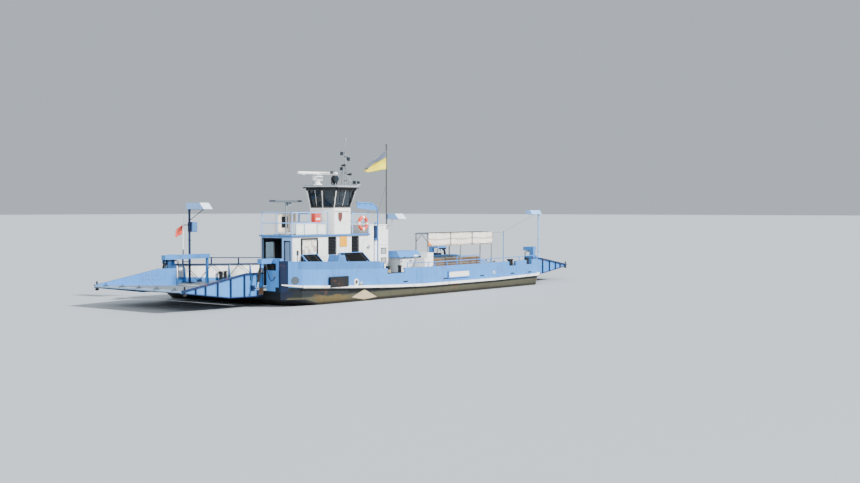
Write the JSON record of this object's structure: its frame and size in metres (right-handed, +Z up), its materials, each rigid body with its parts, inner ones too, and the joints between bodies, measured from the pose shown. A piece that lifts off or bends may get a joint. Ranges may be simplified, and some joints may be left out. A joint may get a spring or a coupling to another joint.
{
  "type": "passenger ferry",
  "caption": "Small double-ended river ferry with a flat deck, a hinged ramp at each end, a deckhouse with a wheelhouse on one side, a passenger shelter and azimuth thrusters.",
  "frame": {"origin": "on the waterline, midway along the hull and on its centre line", "axes": "+X along the boat towards its right end, +Y away from the deckhouse side, +Z up"},
  "size_m": [28.2156, 8.51, 8.83],
  "materials": {
    "hull_paint": "weathered antifouling and side paint",
    "blue_paint": "satin, lightly weathered",
    "white_paint": "satin, lightly weathered",
    "navy_paint": "satin",
    "ramp_deck_grey": "worn non-slip paint",
    "machine_grey": "painted casting",
    "dark_metal": "black paint",
    "rod_chrome": "hard chrome",
    "mast_grey": "galvanised",
    "orange_plastic": "sun-faded",
    "yellow_paint": "matt",
    "canvas": "weathered tarpaulin",
    "flag_cloth": "flag cloth",
    "red_cloth": "flag cloth",
    "bronze": "cast bronze"
  },
  "bodies": {
    "hull": {"hull": "hull_paint", "rub_rail_near": "white_paint", "rub_rail_far": "white_paint", "bulwark_near": "blue_paint", "bulwark_far": "white_paint", "engine": "machine_grey", "hatch_trunk": "blue_paint", "house_near_wall": "white_paint", "house_inner_wall": "white_paint", "house_end_wall": "white_paint", "exhaust_casing": "white_paint", "upper_deck": "blue_paint", "upper_railing_left": "blue_paint", "upper_railing_right": "blue_paint", "wheelhouse_base": "white_paint", "wheelhouse_window_frame": "white_paint", "wheelhouse_roof": "white_paint", "radar_pedestal": "white_paint", "searchlight": "dark_metal", "mast": "mast_grey", "flagstaff": "mast_grey", "flag": "flag_cloth", "lamp_post_far_left": "navy_paint", "small_flag": "red_cloth", "lamp_post_upper": "mast_grey", "lamp_post_casing": "blue_paint", "lamp_post_near_right": "mast_grey", "shelter_frame": "mast_grey", "shelter_tarpaulins": "canvas", "lockers": "blue_paint", "lifebuoy": "orange_plastic", "gas_canister": "yellow_paint", "gallows_left_near": "blue_paint", "gallows_left_far": "blue_paint", "gallows_right_near": "blue_paint", "gallows_right_far": "blue_paint"},
    "ramp_left": {"ramp_left_deck": "ramp_deck_grey", "ramp_left_side_near": "blue_paint", "ramp_left_side_far": "blue_paint"},
    "cylinder_barrel_left_near": {"cylinder_barrel_left_near": "dark_metal"},
    "cylinder_rod_left_near": {"cylinder_rod_left_near": "rod_chrome"},
    "cylinder_barrel_left_far": {"cylinder_barrel_left_far": "dark_metal"},
    "cylinder_rod_left_far": {"cylinder_rod_left_far": "rod_chrome"},
    "ramp_right": {"ramp_right_deck": "ramp_deck_grey", "ramp_right_side_near": "blue_paint", "ramp_right_side_far": "blue_paint"},
    "cylinder_barrel_right_near": {"cylinder_barrel_right_near": "dark_metal"},
    "cylinder_rod_right_near": {"cylinder_rod_right_near": "rod_chrome"},
    "cylinder_barrel_right_far": {"cylinder_barrel_right_far": "dark_metal"},
    "cylinder_rod_right_far": {"cylinder_rod_right_far": "rod_chrome"},
    "scanner": {"radar_scanner": "white_paint"},
    "side_door": {"house_side_door": "white_paint"},
    "wheelhouse_door": {"wheelhouse_door": "white_paint"},
    "lid_1": {"hatch_lid_1": "blue_paint"},
    "lid_2": {"hatch_lid_2": "blue_paint"},
    "leg_left": {"thruster_leg_left": "machine_grey"},
    "screw_left": {"thruster_screw_left": "bronze"},
    "leg_right": {"thruster_leg_right": "machine_grey"},
    "screw_right": {"thruster_screw_right": "bronze"}
  },
  "joints": [
    {"name": "ramp_left_hinge", "type": "hinge", "parent": "hull", "child": "ramp_left", "pos_m": [-9.725, 0, 0.56], "axis": [0, 1, 0], "range_deg": [-8, 12]},
    {"name": "cylinder_left_near_swing", "type": "hinge", "parent": "hull", "child": "cylinder_barrel_left_near", "pos_m": [-10.17, -3.08, 1.69], "axis": [0, 1, 0], "range_deg": [-3, 3]},
    {"name": "cylinder_left_near_stroke", "type": "slide", "parent": "cylinder_barrel_left_near", "child": "cylinder_rod_left_near", "axis": [-0.1982, 0, -0.9802], "range_m": [-0.14, 0.1]},
    {"name": "cylinder_left_far_swing", "type": "hinge", "parent": "hull", "child": "cylinder_barrel_left_far", "pos_m": [-10.17, 3.08, 1.69], "axis": [0, 1, 0], "range_deg": [-3, 3]},
    {"name": "cylinder_left_far_stroke", "type": "slide", "parent": "cylinder_barrel_left_far", "child": "cylinder_rod_left_far", "axis": [-0.1982, 0, -0.9802], "range_m": [-0.14, 0.1]},
    {"name": "ramp_right_hinge", "type": "hinge", "parent": "hull", "child": "ramp_right", "pos_m": [9.725, 0, 0.56], "axis": [0, -1, 0], "range_deg": [-8, 12]},
    {"name": "cylinder_right_near_swing", "type": "hinge", "parent": "hull", "child": "cylinder_barrel_right_near", "pos_m": [10.17, -3.08, 1.69], "axis": [0, -1, 0], "range_deg": [-3, 3]},
    {"name": "cylinder_right_near_stroke", "type": "slide", "parent": "cylinder_barrel_right_near", "child": "cylinder_rod_right_near", "axis": [0.1982, 0, -0.9802], "range_m": [-0.14, 0.1]},
    {"name": "cylinder_right_far_swing", "type": "hinge", "parent": "hull", "child": "cylinder_barrel_right_far", "pos_m": [10.17, 3.08, 1.69], "axis": [0, -1, 0], "range_deg": [-3, 3]},
    {"name": "cylinder_right_far_stroke", "type": "slide", "parent": "cylinder_barrel_right_far", "child": "cylinder_rod_right_far", "axis": [0.1982, 0, -0.9802], "range_m": [-0.14, 0.1]},
    {"name": "scanner_spin", "type": "hinge", "parent": "hull", "child": "scanner", "pos_m": [-5.4, -1.75, 5.56], "axis": [0, 0, 1], "continuous": true},
    {"name": "side_door_hinge", "type": "hinge", "parent": "hull", "child": "side_door", "pos_m": [-2.984, -2.676, 1.7], "axis": [0, 0, 1], "range_deg": [0, 95]},
    {"name": "wheelhouse_door_hinge", "type": "hinge", "parent": "hull", "child": "wheelhouse_door", "pos_m": [-5.106, -1.424, 3.9], "axis": [0, 0, 1], "range_deg": [0, 100]},
    {"name": "lid_1_hinge", "type": "hinge", "parent": "hull", "child": "lid_1", "pos_m": [-7, -3.22, 1.6503], "axis": [1, 0, 0], "range_deg": [0, 140]},
    {"name": "lid_2_hinge", "type": "hinge", "parent": "hull", "child": "lid_2", "pos_m": [-4.3, -3.22, 1.6503], "axis": [1, 0, 0], "range_deg": [0, 140]},
    {"name": "thruster_left_steer", "type": "hinge", "parent": "hull", "child": "leg_left", "pos_m": [-7.9, -1.5, -0.6], "axis": [0, 0, 1], "continuous": true},
    {"name": "screw_left_spin", "type": "hinge", "parent": "leg_left", "child": "screw_left", "pos_m": [-7.9, -1.5, -1.15], "axis": [1, 0, 0], "continuous": true},
    {"name": "thruster_right_steer", "type": "hinge", "parent": "hull", "child": "leg_right", "pos_m": [7.9, 1.5, -0.6], "axis": [0, 0, 1], "continuous": true},
    {"name": "screw_right_spin", "type": "hinge", "parent": "leg_right", "child": "screw_right", "pos_m": [7.9, 1.5, -1.15], "axis": [-1, 0, 0], "continuous": true}
  ],
  "couplings": [
    {"joint": "cylinder_left_near_swing", "follows": "ramp_left_hinge", "ratio": -0.1742},
    {"joint": "cylinder_left_near_stroke", "follows": "ramp_left_hinge", "m_per_rad": -0.6501},
    {"joint": "cylinder_left_far_swing", "follows": "ramp_left_hinge", "ratio": -0.1742},
    {"joint": "cylinder_left_far_stroke", "follows": "ramp_left_hinge", "m_per_rad": -0.6501},
    {"joint": "cylinder_right_near_swing", "follows": "ramp_right_hinge", "ratio": -0.1742},
    {"joint": "cylinder_right_near_stroke", "follows": "ramp_right_hinge", "m_per_rad": -0.6501},
    {"joint": "cylinder_right_far_swing", "follows": "ramp_right_hinge", "ratio": -0.1742},
    {"joint": "cylinder_right_far_stroke", "follows": "ramp_right_hinge", "m_per_rad": -0.6501}
  ]
}
